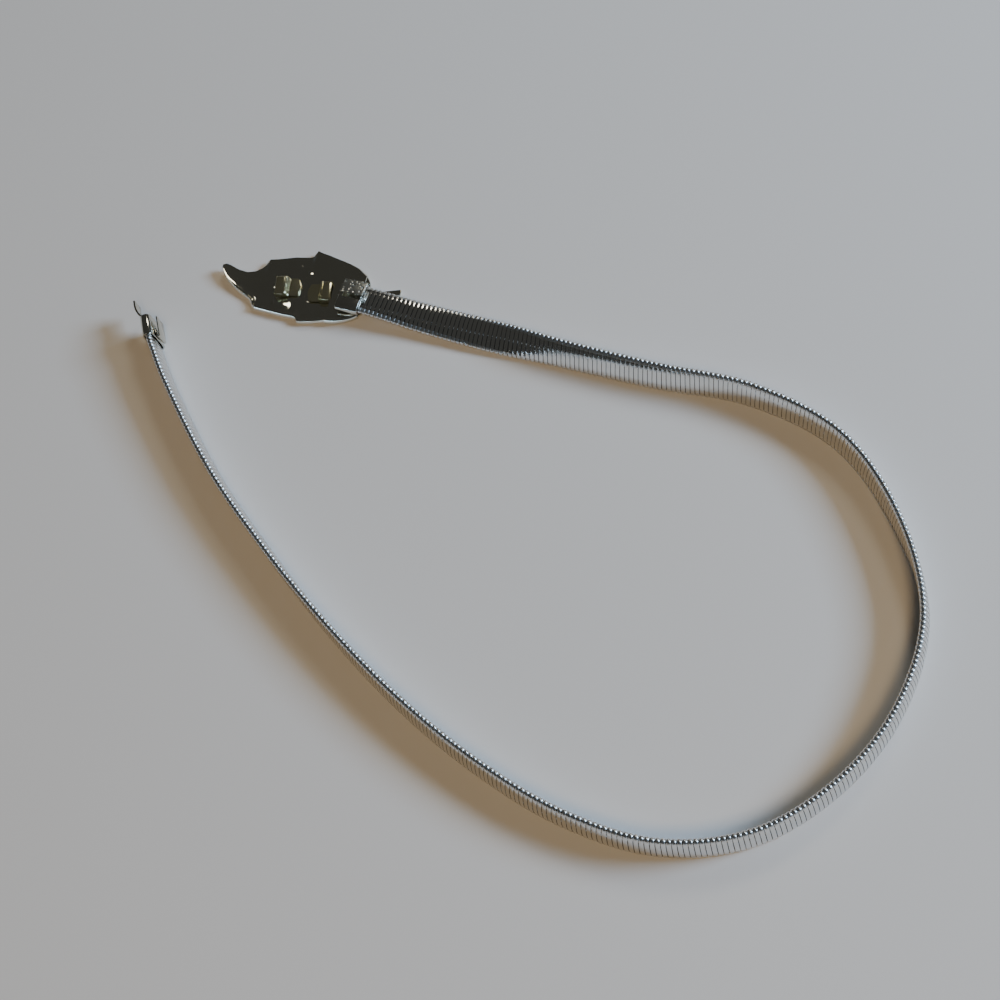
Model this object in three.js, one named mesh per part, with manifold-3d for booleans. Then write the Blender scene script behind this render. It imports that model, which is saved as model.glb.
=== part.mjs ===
// A stretch belt: a flattened, hollow coil band with a hook fitting at each end, lying open on a
// table in one loop, its rear hook pushed home in the back of a stamped leaf buckle.
// Millimetres, +Z up. The floor is z = 0 and the origin is the middle of the belt on that floor.
import * as THREE from 'three';
import { mergeVertices } from 'three/addons/utils/BufferGeometryUtils.js';
import Module from 'manifold-3d';

const wasm = await Module();
wasm.setup();

// The loop that the band lies in, from the coil's rear end round to its free end.
const loopLength = 304;
const loopWidth = 163;

// The coil band.
const bandWidth = 12;
const bandThickness = 3;
const bandCrown = 0.2;
const stripThickness = 0.5;

// Clear space between pieces that touch on the real belt.
const seatGap = 0.3;

// The crimped ferrule on each end of the coil.
const ferruleGrip = 8;
const ferruleWall = 0.5;

// The hook: a foot on the ferrule's end, a sloping neck and a flat tongue.
const hookWidth = 5.4;
const hookThickness = 0.7;
const hookFoot = 2.4;
const hookReach = 4.4;
const hookStep = 3.4;
const hookTongue = 3.5;

// The latch spring: a folded strip on the ferrule's inner face.
const springWidth = 6;
const springThickness = 0.4;
const springFoot = 3;
const springOverhang = 0.6;
const springRise = 1;
const springLeg = 8.8;

// Each hook sits this far from its ferrule's middle, towards the band's upper edge, and so does
// each spring.
const hookOffset = 2.2;
const rearSpringOffset = 2.2;
const freeSpringOffset = 0.8;

// The buckle plate: stamped leaf with a raised rim, a lifted tip, a stem and one folded ear.
const plateLength = 59.4;
const plateWidth = 32.2;
const plateThickness = 1;
const rimRise = 1.7;
const tipRise = 3;
const stemReach = 11.5;
const stemWidth = 2.4;
const earSheet = 0.7;
const earRadius = 1.5;

// The two catches soldered to the plate's back. The rear tongue starts bridgeLap before the middle
// of its bridge. The buckle turns by buckleSwing from that tongue, and the catches by catchSkew.
const catchWidth = 8.2;
const catchSheet = 0.6;
const catchTab = 5.4;
const tabBulge = 1.2;
const tabInset = 0.3;
const bridgeLength = 4.1;
const bridgeClear = 2.3;
const bridgeSpacing = 18.1;
const tongueClearance = 0.8;
const bridgeLap = 2.2;
const buckleSwing = 5.4;
const catchSkew = 8;

// How finely curves are divided.
const bandSteps = 96;
const edgeSegments = 5;
const sheetColumns = 10;
const foldSegments = 6;
const tabSegments = 10;

// Route of the band, mouth to mouth of the ferrules and on to the coil's two ends.
// along and across are shares of the loop's length and width. lean is in degrees from upright,
// positive where the upper edge leans out of the loop. rear and free are shares of the height
// that each end fitting lifts the band above its own resting height.
const route = [
  { along: 0.205, across: 0.897, lean: 97, rear: 1, free: 0 },
  { along: 0.233, across: 0.904, lean: 97, rear: 1, free: 0 },
  { along: 0.359, across: 0.925, lean: 78, rear: 0.3, free: 0 },
  { along: 0.484, across: 0.942, lean: 31, rear: 0, free: 0 },
  { along: 0.605, across: 0.967, lean: 22, rear: 0, free: 0 },
  { along: 0.718, across: 0.999, lean: 13, rear: 0, free: 0 },
  { along: 0.83, across: 0.966, lean: 7, rear: 0, free: 0 },
  { along: 0.922, across: 0.837, lean: 1, rear: 0, free: 0 },
  { along: 0.987, across: 0.66, lean: -12, rear: 0, free: 0 },
  { along: 0.997, across: 0.453, lean: -11, rear: 0, free: 0 },
  { along: 0.969, across: 0.27, lean: -10, rear: 0, free: 0 },
  { along: 0.911, across: 0.115, lean: -10, rear: 0, free: 0 },
  { along: 0.825, across: 0.022, lean: -10, rear: 0, free: 0 },
  { along: 0.724, across: 0, lean: -10, rear: 0, free: 0 },
  { along: 0.619, across: 0.024, lean: -9.5, rear: 0, free: 0 },
  { along: 0.511, across: 0.078, lean: -7.5, rear: 0, free: 0 },
  { along: 0.402, across: 0.158, lean: -4, rear: 0, free: 0 },
  { along: 0.291, across: 0.262, lean: 5, rear: 0, free: 0 },
  { along: 0.176, across: 0.386, lean: 7, rear: 0, free: 0.1 },
  { along: 0.064, across: 0.542, lean: 6.5, rear: 0, free: 0.7 },
  { along: 0.031, across: 0.596, lean: 6, rear: 0, free: 0.95 },
  { along: 0.017, across: 0.621, lean: 6, rear: 0, free: 1 },
  { along: 0, across: 0.66, lean: 6, rear: 0, free: 1 },
];

// Outline of the leaf. along is a share of the plate's length from the blunt end to the tip, far
// and near are shares of its width to its two edges, and lift is a share of the tip's rise. The
// near edge is flat where the ear is folded up from it, and has its raised rim elsewhere.
const leaf = [
  { along: 0, far: -0.11, near: 0.08, lift: 0 },
  { along: 0.012, far: -0.21, near: 0.2, lift: 0, flatEdge: true },
  { along: 0.045, far: -0.3, near: 0.245, lift: 0, flatEdge: true },
  { along: 0.1, far: -0.375, near: 0.3, lift: 0, flatEdge: true },
  { along: 0.16, far: -0.42, near: 0.332, lift: 0, flatEdge: true },
  { along: 0.225, far: -0.456, near: 0.353, lift: 0, flatEdge: true },
  { along: 0.24, far: -0.462, near: 0.392, lift: 0 },
  { along: 0.32, far: -0.505, near: 0.428, lift: 0 },
  { along: 0.37, far: -0.525, near: 0.446, lift: 0 },
  { along: 0.405, far: -0.55, near: 0.45, lift: 0 },
  { along: 0.416, far: -0.535, near: 0.448, lift: 0 },
  { along: 0.428, far: -0.495, near: 0.428, lift: 0 },
  { along: 0.438, far: -0.446, near: 0.398, lift: 0 },
  { along: 0.54, far: -0.426, near: 0.385, lift: 0 },
  { along: 0.65, far: -0.374, near: 0.357, lift: 0 },
  { along: 0.716, far: -0.352, near: 0.34, lift: 0.02 },
  { along: 0.73, far: -0.28, near: 0.325, lift: 0.03 },
  { along: 0.75, far: -0.225, near: 0.25, lift: 0.06 },
  { along: 0.78, far: -0.18, near: 0.2, lift: 0.12 },
  { along: 0.83, far: -0.15, near: 0.155, lift: 0.25 },
  { along: 0.89, far: -0.16, near: 0.09, lift: 0.47 },
  { along: 0.95, far: -0.192, near: 0.005, lift: 0.75 },
  { along: 0.98, far: -0.2, near: -0.07, lift: 0.9 },
  { along: 1, far: -0.172, near: -0.135, lift: 1 },
];

// The stem that runs on from the blunt end, under the band. across is a share of the plate's
// width to its middle line, and width is a share of the stem's own width.
const stem = [
  { along: -0.08, across: -0.02, width: 1.4 },
  { along: 0.08, across: -0.05, width: 1.1 },
  { along: 0.35, across: -0.09, width: 0.7 },
  { along: 0.6, across: -0.12, width: 0.6 },
  { along: 0.97, across: -0.14, width: 1 },
  { along: 1, across: -0.14, width: 0.9 },
];

// The ear folded up from the near edge. along is the place on the leaf, as in its own table, edge
// is the share of the plate's width to the fold, and flap is the share that turns back over it.
const ear = [
  { along: 0.23, edge: 0.4, flap: 0.185 },
  { along: 0.17, edge: 0.385, flap: 0.15 },
  { along: 0.113, edge: 0.355, flap: 0.1 },
  { along: 0.064, edge: 0.315, flap: 0.045 },
  { along: 0.035, edge: 0.28, flap: 0.01 },
];

// Where the leaf's blunt end lies from the middle of the rear bridge, as a share of its length.
const leafStart = -0.275;

// The neck of the hook bends once, at these shares of its reach and of its drop.
const neckBend = 0.45;
const neckDrop = 0.6;

// The spring's fold: back is a share of its overhang, from the outermost line towards the
// ferrule, and rise is a share of the spring's rise.
const springFold = [
  { back: 0.3, rise: 0.52 },
  { back: 0, rise: 0.76 },
  { back: 0.2, rise: 0.95 },
  { back: 0.55, rise: 1 },
];

// The leaf is flat over the middle share of its width. Its rim is lower where the leaf is
// narrower than narrowLeaf, a share of the plate's width, and fades out as the tip lifts.
const flatShare = 0.5;
const narrowLeaf = 0.5;
const tipFlatten = 0.85;

const steel = () => new THREE.MeshStandardMaterial({ color: 0x9a9c9e, roughness: 0.22, metalness: 1 });
const darkSteel = () => new THREE.MeshStandardMaterial({ color: 0x4a4a46, roughness: 0.18, metalness: 1 });
const paleSteel = () => new THREE.MeshStandardMaterial({ color: 0xb4b19c, roughness: 0.2, metalness: 1 });

function named(name, geometry, material) {
  const mesh = new THREE.Mesh(geometry, material);
  mesh.name = name;
  return mesh;
}

// Turns a list of points and of triangles into a geometry whose faces point out.
function closedGeometry(points, triangles) {
  let volume = 0;
  for (const [a, b, c] of triangles) {
    volume += points[a].dot(new THREE.Vector3().crossVectors(points[b], points[c])) / 6;
  }
  const outward = volume > 0 ? triangles : triangles.map(([a, b, c]) => [a, c, b]);
  const geometry = new THREE.BufferGeometry().setFromPoints(points);
  geometry.setIndex(outward.flat());
  return geometry;
}

// Two triangles over the four corners of a patch.
function patch(triangles, a, b, c, d) {
  triangles.push([a, b, c], [a, c, d]);
}

// A skin over a list of rings. A looped list closes on itself, and any other has both ends capped.
function ringSolid(rings, looped) {
  const count = rings[0].length;
  const points = rings.flat();
  const triangles = [];
  const spans = looped ? rings.length : rings.length - 1;
  for (let i = 0; i < spans; i += 1) {
    const here = i * count;
    const next = ((i + 1) % rings.length) * count;
    for (let j = 0; j < count; j += 1) {
      const k = (j + 1) % count;
      patch(triangles, here + j, here + k, next + k, next + j);
    }
  }
  if (!looped) {
    const last = (rings.length - 1) * count;
    for (let j = 1; j < count - 1; j += 1) {
      triangles.push([0, j + 1, j], [last, last + j, last + j + 1]);
    }
  }
  return closedGeometry(points, triangles);
}

// A sheet between a grid of upper points and the matching grid of lower points.
function sheetSolid(upper, lower) {
  const rows = upper.length;
  const columns = upper[0].length;
  const points = [...upper.flat(), ...lower.flat()];
  const under = rows * columns;
  const triangles = [];
  const at = (i, j) => i * columns + j;
  for (let i = 0; i < rows - 1; i += 1) {
    for (let j = 0; j < columns - 1; j += 1) {
      patch(triangles, at(i, j), at(i + 1, j), at(i + 1, j + 1), at(i, j + 1));
      patch(triangles, under + at(i, j), under + at(i, j + 1), under + at(i + 1, j + 1), under + at(i + 1, j));
    }
    for (const j of [0, columns - 1]) {
      const corners = [at(i, j), under + at(i, j), under + at(i + 1, j), at(i + 1, j)];
      patch(triangles, ...(j === 0 ? corners : corners.reverse()));
    }
  }
  for (let j = 0; j < columns - 1; j += 1) {
    for (const i of [0, rows - 1]) {
      const corners = [at(i, j), at(i, j + 1), under + at(i, j + 1), under + at(i, j)];
      patch(triangles, ...(i === 0 ? corners : corners.reverse()));
    }
  }
  return closedGeometry(points, triangles);
}

// Solids for cutting and joining, and back.
function toSolid(geometry) {
  const bare = geometry.clone();
  bare.deleteAttribute('normal');
  bare.deleteAttribute('uv');
  const merged = mergeVertices(bare, 1e-4);
  return new wasm.Manifold(new wasm.Mesh({
    numProp: 3,
    vertProperties: new Float32Array(merged.attributes.position.array),
    triVerts: new Uint32Array(merged.index.array),
  }));
}

function fromSolid(solid) {
  const { vertProperties, triVerts } = solid.getMesh();
  const geometry = new THREE.BufferGeometry();
  geometry.setAttribute('position', new THREE.BufferAttribute(new Float32Array(vertProperties), 3));
  geometry.setIndex([...triVerts]);
  return geometry;
}

// Outline of a bent strip, from the middle line of its bends.
function stripShape(middle, thickness) {
  const sides = [[], []];
  middle.forEach(([x, y], i) => {
    const before = middle[Math.max(i - 1, 0)];
    const after = middle[Math.min(i + 1, middle.length - 1)];
    const arrive = new THREE.Vector2(x - before[0], y - before[1]).normalize();
    const leave = new THREE.Vector2(after[0] - x, after[1] - y).normalize();
    const way = arrive.clone().add(leave).normalize();
    const straight = i === 0 ? leave : arrive;
    const half = thickness / 2 / way.dot(straight.lengthSq() ? straight : way);
    sides[0].push(new THREE.Vector2(x - way.y * half, y + way.x * half));
    sides[1].unshift(new THREE.Vector2(x + way.y * half, y - way.x * half));
  });
  return new THREE.Shape([...sides[0], ...sides[1]]);
}

// A bent strip of the given width, its middle at the given offset along the width.
function strip(middle, thickness, width, offset) {
  const geometry = new THREE.ExtrudeGeometry(stripShape(middle, thickness), { depth: width, bevelEnabled: false });
  return geometry.translate(0, 0, offset - width / 2);
}

// Section of the flattened coil, grown by a margin: round edges and slightly domed faces.
// Each point holds its place across the faces and along the width.
function coilSection(margin) {
  const half = bandThickness / 2 + margin;
  const round = half - bandCrown;
  const reach = bandWidth / 2 + margin - round;
  const points = [];
  for (const side of [1, -1]) {
    for (let i = 0; i <= edgeSegments; i += 1) {
      const turn = Math.PI * (i / edgeSegments);
      points.push([side * round * Math.cos(turn), side * (reach + round * Math.sin(turn))]);
    }
    points.push([-side * half, 0]);
  }
  return points;
}

// The route as a curve on the floor, with the lean and the lift at each place on it.
const floorRoute = new THREE.CatmullRomCurve3(
  route.map(({ along, across }) => new THREE.Vector3(along * loopLength, across * loopWidth, 0)),
  false,
  'centripetal',
);

// Slopes of one column at its rows: nought at a turn and at the ends, so that it never overshoots.
const spans = route.slice(1).map((row, i) => Math.hypot(
  (row.along - route[i].along) * loopLength,
  (row.across - route[i].across) * loopWidth,
));

function slopesOf(name) {
  const steep = spans.map((span, i) => (route[i + 1][name] - route[i][name]) / span);
  return route.map((row, i) => {
    const before = steep[i - 1] ?? 0;
    const after = steep[i] ?? 0;
    return before * after > 0 ? (2 * before * after) / (before + after) : 0;
  });
}

// A column's value at a parameter of the route, smoothed between its rows.
function smoothColumn(name) {
  const slopes = slopesOf(name);
  return (t) => {
    const i = Math.min(Math.floor(t * spans.length), spans.length - 1);
    const w = t * spans.length - i;
    const rest = 1 - w;
    return route[i][name] * (1 + 2 * w) * rest * rest
      + route[i + 1][name] * (3 - 2 * w) * w * w
      + spans[i] * w * rest * (slopes[i] * rest - slopes[i + 1] * w);
  };
}

const leanAt = smoothColumn('lean');
const rearAt = smoothColumn('rear');
const freeAt = smoothColumn('free');

// Height of the band's middle where its edge rests on the floor.
const restHeight = (lean) => ((bandWidth - bandThickness) / 2) * Math.abs(Math.cos(lean)) + bandThickness / 2;

// The ferrule is the coil's section with its gap and wall round it.
const ferruleMargin = seatGap + ferruleWall;
const freeLift = ferruleMargin;
const tongueHeight = plateThickness + tongueClearance + hookThickness / 2;
const rearLift = tongueHeight + hookStep - restHeight(THREE.MathUtils.degToRad(route[0].lean));

// Place, direction and section axes of the band at a share of its length. inner points out of
// the face that looks into the loop, and upper points to the edge that stands up.
function bandFrame(share) {
  const t = floorRoute.getUtoTmapping(share);
  const origin = floorRoute.getPoint(t);
  const ahead = floorRoute.getTangent(t);
  const lean = THREE.MathUtils.degToRad(leanAt(t));
  origin.z = restHeight(lean) + rearLift * rearAt(t) + freeLift * freeAt(t);
  const outward = new THREE.Vector3(-ahead.y, ahead.x, 0);
  const upper = outward.multiplyScalar(Math.sin(lean)).add(new THREE.Vector3(0, 0, Math.cos(lean)));
  const inner = new THREE.Vector3().crossVectors(ahead, upper);
  return { origin, ahead, inner, upper };
}

// Axes of the ferrule on the coil's end at share 0 or 1, set by the stretch of coil that it grips.
function gripFrame(share) {
  const grip = ferruleGrip / floorRoute.getLength();
  const { origin, upper } = bandFrame(share);
  const out = origin.clone().sub(bandFrame(Math.abs(share - grip)).origin).normalize();
  const width = upper.clone().addScaledVector(out, -upper.dot(out)).normalize();
  const inner = new THREE.Vector3().crossVectors(out, width).multiplyScalar(share === 1 ? 1 : -1);
  return { origin, out, inner, upper: width };
}

function ringAt({ origin, inner, upper }, section) {
  return section.map(([across, along]) => origin.clone()
    .addScaledVector(inner, across)
    .addScaledVector(upper, along));
}

// The coil band is a hollow tube, open at both ends.
function coilBand() {
  const outside = [];
  const inside = [];
  for (let i = 0; i <= bandSteps; i += 1) {
    const frame = bandFrame(i / bandSteps);
    outside.push(ringAt(frame, coilSection(0)));
    inside.unshift(ringAt(frame, coilSection(-stripThickness)));
  }
  return named('coil_band', ringSolid([...outside, ...inside], true), steel());
}

// One end fitting, in its own axes: x out along the band, y out of the inner face and z along the
// width. The coil ends at x = 0, inside the ferrule.
const ferruleMouth = -ferruleGrip;
const capOutside = seatGap + ferruleWall;
const ferruleFace = bandThickness / 2 + ferruleMargin;

function ferrule() {
  const ring = (x, margin) => coilSection(margin).map(([across, along]) => new THREE.Vector3(x, across, along));
  return ringSolid([
    ring(seatGap, seatGap),
    ring(ferruleMouth, seatGap),
    ring(ferruleMouth, ferruleMargin),
    ring(capOutside, ferruleMargin),
  ], false);
}

function hook(offset) {
  const footFace = capOutside + seatGap + hookThickness / 2;
  const neckStart = -(ferruleFace - hookThickness);
  return strip([
    [footFace, neckStart + hookFoot],
    [footFace, neckStart],
    [footFace + hookReach * neckBend, neckStart - (hookStep + neckStart) * neckDrop],
    [footFace + hookReach, -hookStep],
    [footFace + hookReach + hookTongue, -hookStep],
  ], hookThickness, hookWidth, offset);
}

function spring(offset) {
  const footLine = ferruleFace + seatGap + springThickness / 2;
  const fold = ferruleMouth - springOverhang;
  const legLine = footLine + springRise;
  return strip([
    [ferruleMouth + springFoot, footLine],
    [ferruleMouth, footLine],
    ...springFold.map(({ back, rise }) => [fold + springOverhang * back, footLine + springRise * rise]),
    [fold + springLeg, legLine],
  ], springThickness, springWidth, offset);
}

// The fitting of one end as a group. side is 1 where z runs to the band's upper edge, else -1.
function endFitting(prefix, frame, side, springOffset) {
  const group = new THREE.Group();
  const width = frame.upper.clone().multiplyScalar(side);
  group.applyMatrix4(new THREE.Matrix4().makeBasis(frame.out, frame.inner, width).setPosition(frame.origin));
  group.add(named(`${prefix}_ferrule`, ferrule(), steel()));
  group.add(named(`${prefix}_hook`, hook(side * hookOffset), steel()));
  group.add(named(`${prefix}_spring`, spring(side * springOffset), steel()));
  return group;
}

// The leaf's sheet: flat in the middle, with a rim that rises and a tip that lifts.
// Buckle axes: x to the tip, y to the near edge, z up from the floor.
function leafSheet() {
  const upper = [];
  const lower = [];
  leaf.forEach(({ along, far, near, lift, flatEdge }) => {
    const ended = along === 0 || along === 1;
    const rim = ended ? 0 : rimRise * Math.min(1, (near - far) / narrowLeaf);
    const line = [];
    for (let j = 0; j <= sheetColumns; j += 1) {
      const share = j / sheetColumns;
      const edged = share < 0.5 || !flatEdge;
      const out = edged ? Math.max(0, (Math.abs(2 * share - 1) - flatShare) / (1 - flatShare)) : 0;
      const y = (far + (near - far) * share) * plateWidth;
      const z = rim * out * out * (1 - lift * tipFlatten) + lift * tipRise;
      line.push(new THREE.Vector3((leafStart + along) * plateLength, y, z));
    }
    lower.push(line);
    upper.push(line.map((point) => point.clone().setZ(point.z + plateThickness)));
  });
  return sheetSolid(upper, lower);
}

function stemSheet() {
  const upper = [];
  const lower = [];
  stem.forEach(({ along, across, width }) => {
    const x = leafStart * plateLength - along * stemReach;
    const middle = across * plateWidth;
    const half = (width * stemWidth) / 2;
    lower.push([-half, half].map((y) => new THREE.Vector3(x, middle + y, 0)));
    upper.push([-half, half].map((y) => new THREE.Vector3(x, middle + y, plateThickness)));
  });
  return sheetSolid(upper, lower);
}

// The ear's section runs from inside the plate, round the fold and back over the plate.
function earSheetSolid() {
  const upper = [];
  const lower = [];
  ear.forEach(({ along, edge, flap }) => {
    const x = (leafStart + along) * plateLength;
    const foldMiddle = edge * plateWidth - earRadius;
    const base = plateThickness / 2;
    const middle = [[foldMiddle - earRadius, base, 0]];
    for (let k = 0; k <= foldSegments; k += 1) {
      const turn = Math.PI * (k / foldSegments);
      middle.push([foldMiddle + earRadius * Math.sin(turn), base + earRadius * (1 - Math.cos(turn)), turn]);
    }
    middle.push([foldMiddle - flap * plateWidth, base + 2 * earRadius, Math.PI]);
    const side = (sign) => middle.map(([y, z, turn]) => new THREE.Vector3(
      x,
      y - (sign * earSheet * Math.sin(turn)) / 2,
      z + (sign * earSheet * Math.cos(turn)) / 2,
    ));
    upper.push(side(1));
    lower.push(side(-1));
  });
  return sheetSolid(upper, lower);
}

function bucklePlate() {
  const solid = toSolid(leafSheet()).add(toSolid(stemSheet())).add(toSolid(earSheetSolid()));
  return named('buckle_plate', fromSolid(solid), darkSteel());
}

// One catch: a soldered tab with a rounded end, and a bridge over the hook's tongue.
// The bridge's middle is at x = 0 and the tab runs to +x.
const tabSeat = plateThickness + seatGap;
const strapUnder = plateThickness + bridgeClear;

function bridgeCatch() {
  const half = catchWidth / 2;
  const strapTop = strapUnder + catchSheet;
  const channel = new THREE.Shape([
    [-half, tabSeat],
    [-half, strapTop],
    [half, strapTop],
    [half, tabSeat],
    [half - catchSheet, tabSeat],
    [half - catchSheet, strapUnder],
    [catchSheet - half, strapUnder],
    [catchSheet - half, tabSeat],
  ].map(([y, z]) => new THREE.Vector2(y, z)));
  const bridge = new THREE.ExtrudeGeometry(channel, { depth: bridgeLength, bevelEnabled: false });
  bridge.rotateX(Math.PI / 2).rotateZ(Math.PI / 2).translate(-bridgeLength / 2, 0, 0);

  const tabLine = tabSeat + catchSheet / 2;
  const strapLine = strapUnder + catchSheet / 2;
  const strapEnd = bridgeLength / 2;
  const tabEnd = strapEnd + catchTab;
  const sheet = strip([
    [strapEnd - catchSheet / 2, strapLine],
    [strapEnd + catchSheet, tabLine],
    [tabEnd, tabLine],
  ], catchSheet, catchWidth, 0);
  sheet.rotateX(Math.PI / 2);

  const tabHalf = half - tabInset;
  const radius = (tabHalf * tabHalf + tabBulge * tabBulge) / (2 * tabBulge);
  const sweep = Math.asin(tabHalf / radius);
  const outline = new THREE.Shape();
  outline.moveTo(0, -tabHalf);
  outline.lineTo(tabEnd - radius + radius * Math.cos(sweep), -tabHalf);
  outline.absarc(tabEnd - radius, 0, radius, -sweep, sweep, false);
  outline.lineTo(0, tabHalf);
  const extent = { depth: strapTop * 2, bevelEnabled: false, curveSegments: tabSegments };
  const prism = new THREE.ExtrudeGeometry(outline, extent);
  const tab = toSolid(sheet).intersect(toSolid(prism));
  return fromSolid(toSolid(bridge).add(tab));
}

// The buckle stands with its rear bridge over the rear tongue.
function buckle(rearFrame) {
  const group = new THREE.Group();
  const bridgeMiddle = capOutside + seatGap + hookThickness / 2 + hookReach + bridgeLap;
  const place = rearFrame.origin.clone()
    .addScaledVector(rearFrame.out, bridgeMiddle)
    .addScaledVector(rearFrame.inner, -hookStep)
    .addScaledVector(rearFrame.upper, hookOffset);
  group.position.set(place.x, place.y, 0);
  group.rotation.z = Math.atan2(rearFrame.out.y, rearFrame.out.x) + THREE.MathUtils.degToRad(buckleSwing);
  const skew = THREE.MathUtils.degToRad(catchSkew);
  const rear = named('rear_catch', bridgeCatch(), paleSteel());
  rear.rotation.z = skew;
  const front = named('front_catch', bridgeCatch(), paleSteel());
  front.position.x = bridgeSpacing;
  front.rotation.z = skew + Math.PI;
  group.add(bucklePlate(), rear, front);
  return group;
}

const belt = new THREE.Group();
const rearEnd = gripFrame(0);
const freeEnd = gripFrame(1);
belt.add(coilBand());
belt.add(endFitting('rear', rearEnd, 1, rearSpringOffset));
belt.add(endFitting('free', freeEnd, -1, freeSpringOffset));
belt.add(buckle(rearEnd));

// The origin goes to the middle of the belt's box, on the floor.
const box = new THREE.Box3().setFromObject(belt, true);
const middle = box.getCenter(new THREE.Vector3());
belt.position.set(-middle.x, -middle.y, -box.min.z);

export default belt;
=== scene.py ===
# %% [markdown]
# A stretch belt of polished metal
#
# The belt is one long, flattened coil of steel strip. It lies open on a table in a single loop.
# A hook fitting is crimped on each end, and one hook is pushed home in a catch on the back of a
# stamped leaf buckle, which lies on its face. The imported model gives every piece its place, and
# this lesson gives each its finish. All sizes are in metres.

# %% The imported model
import math

import bpy
from mathutils import Matrix, Vector


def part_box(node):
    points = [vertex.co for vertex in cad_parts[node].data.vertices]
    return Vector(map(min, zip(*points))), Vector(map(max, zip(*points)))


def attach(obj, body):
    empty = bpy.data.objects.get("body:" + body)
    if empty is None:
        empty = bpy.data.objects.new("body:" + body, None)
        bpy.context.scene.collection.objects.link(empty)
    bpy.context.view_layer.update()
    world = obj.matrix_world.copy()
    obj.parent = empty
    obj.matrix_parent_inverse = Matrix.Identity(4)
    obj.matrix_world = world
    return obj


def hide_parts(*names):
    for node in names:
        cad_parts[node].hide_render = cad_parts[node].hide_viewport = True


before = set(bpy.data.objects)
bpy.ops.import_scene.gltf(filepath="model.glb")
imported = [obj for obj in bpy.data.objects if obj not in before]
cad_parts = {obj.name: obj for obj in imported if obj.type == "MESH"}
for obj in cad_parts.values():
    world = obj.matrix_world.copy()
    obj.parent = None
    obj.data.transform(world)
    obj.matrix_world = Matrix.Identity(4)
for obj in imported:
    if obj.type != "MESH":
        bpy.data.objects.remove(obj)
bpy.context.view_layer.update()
MM = 0.001
print("packed pieces:", len(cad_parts))

# %% [markdown]
# The camera stands where the photographer stood: half a metre above the table, near the round
# end of the loop, looking steeply down with the camera turned a little in the hand. A camera can be
# aimed with a constraint, but the roll matters here, so its three axes are written down from the
# three angles and become its rotation.

# %% Camera
EYE = Vector((0.1617, -0.1752, 0.504))
LOOK_AZIMUTH = math.radians(40)
LOOK_DOWN = math.radians(64)
ROLL = math.radians(-16)
LENS = 57.6

camera_data = bpy.data.cameras.new("camera")
camera = bpy.data.objects.new("camera", camera_data)
bpy.context.scene.collection.objects.link(camera)
camera_data.lens = LENS
camera_data.clip_start = 0.01
camera_data.clip_end = 50
side = Vector((math.cos(LOOK_AZIMUTH), math.sin(LOOK_AZIMUTH), 0))
level = Vector((-math.sin(LOOK_AZIMUTH), math.cos(LOOK_AZIMUTH), 0))
ahead = level * math.cos(LOOK_DOWN) - Vector((0, 0, math.sin(LOOK_DOWN)))
above = side.cross(ahead)
right_axis = side * math.cos(ROLL) + above * math.sin(ROLL)
up_axis = above * math.cos(ROLL) - side * math.sin(ROLL)
turned = Matrix((right_axis, up_axis, -ahead)).transposed()
camera.matrix_world = Matrix.Translation(EYE) @ turned.to_4x4()
bpy.context.scene.camera = camera
print("camera height:", round(EYE.z, 3))

# %% [markdown]
# Polished metal shows little but what stands round it, so the studio matters as much as the
# finish. The pale floor is what the upright faces mirror, and a dark room is what the faces that
# look up mirror. A wide floor under a dim world gives both. A cool window stands low beyond the
# round end, and a bright lamp stands beyond the loop, where it leaves a dot on every turn of the
# coil. A warm fill stands behind the camera, for the brown shadows, and is kept out of mirrors.

# %% Floor, room and lamps
FLOOR_REACH = 3.0
FLOOR_PAINT = (0.79, 0.785, 0.775, 1)
ROOM_COLOUR = (1.0, 1.0, 0.94, 1)
ROOM_LIGHT = 0.045
LAMP_DISTANCE = 2.2
LAMPS = [
    # name, azimuth, elevation, width, watts, colour, and whether the metal mirrors it
    ("window", 36, 29, 0.7, 49, (0.53, 0.74, 1.0), True),
    ("warm_fill", 313, 58, 0.7, 15, (1.0, 0.7, 0.38), False),
    ("bright_lamp", 92, 42, 0.5, 6.5, (1.0, 0.94, 0.8), True),
]


def select_none():
    """Nothing stays selected, so an operator works on new things only."""
    bpy.ops.object.select_all(action="DESELECT")


def node_material(name):
    """A material with an empty node tree, its output and one principled shader."""
    material = bpy.data.materials.new(name)
    material.use_nodes = True
    tree = material.node_tree
    shader = tree.nodes["Principled BSDF"]
    return material, tree, shader


def add_node(tree, kind, **values):
    """One node, with the inputs that are named set to their values."""
    node = tree.nodes.new(kind)
    for key, value in values.items():
        if key in node.inputs:
            node.inputs[key].default_value = value
        else:
            setattr(node, key, value)
    return node


select_none()
bpy.ops.mesh.primitive_plane_add(size=2 * FLOOR_REACH, location=(0, 0, -0.02 * MM))
floor = bpy.context.object
floor.name = "floor"
floor_paint, tree, shader = node_material("pale_floor")
shader.inputs["Base Color"].default_value = FLOOR_PAINT
shader.inputs["Roughness"].default_value = 0.9
shader.inputs["Specular IOR Level"].default_value = 0.2
floor.data.materials.append(floor_paint)

world = bpy.data.worlds.new("dim_room")
world.use_nodes = True
background = world.node_tree.nodes["Background"]
background.inputs["Color"].default_value = ROOM_COLOUR
background.inputs["Strength"].default_value = ROOM_LIGHT
bpy.context.scene.world = world


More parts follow.
